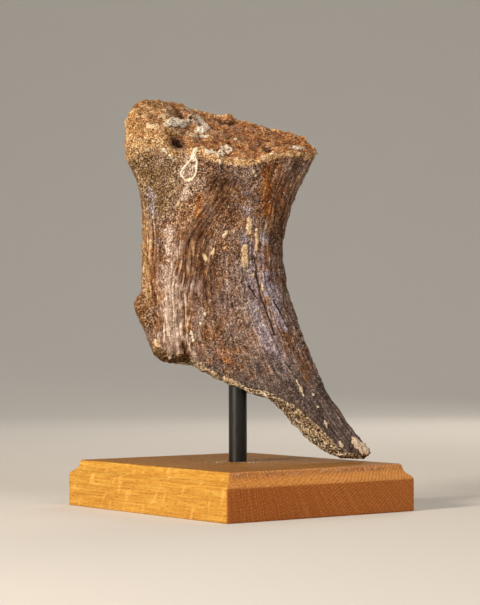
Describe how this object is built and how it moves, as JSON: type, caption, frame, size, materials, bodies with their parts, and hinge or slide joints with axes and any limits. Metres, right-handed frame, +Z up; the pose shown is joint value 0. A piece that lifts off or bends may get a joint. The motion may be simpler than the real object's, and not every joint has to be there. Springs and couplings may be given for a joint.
{
  "type": "mounted fossil pelvis fragment",
  "caption": "Fragment of a woolly mammoth's pelvis, waisted and broken to a long point, held upright by a black steel rod over a moulded oak base.",
  "frame": {"origin": "centre of the oak base's underside, which is also the rod's axis", "axes": "+Z up along the rod; +X along the base's short side; +Y along its long side and its grain. The bone's front faces the direction (-0.60, -0.80, 0)."},
  "size_m": [0.125, 0.15, 0.2259],
  "materials": {
    "fossil_bone": "dull fossil bone, dark brown with tan, ochre and rust areas",
    "oak": "planed oak with a thin satin oil finish",
    "black_steel": "satin black paint"
  },
  "bodies": {
    "root": {"pelvis_bone": "fossil_bone", "oak_base": "oak", "support_rod": "black_steel"}
  },
  "joints": []
}
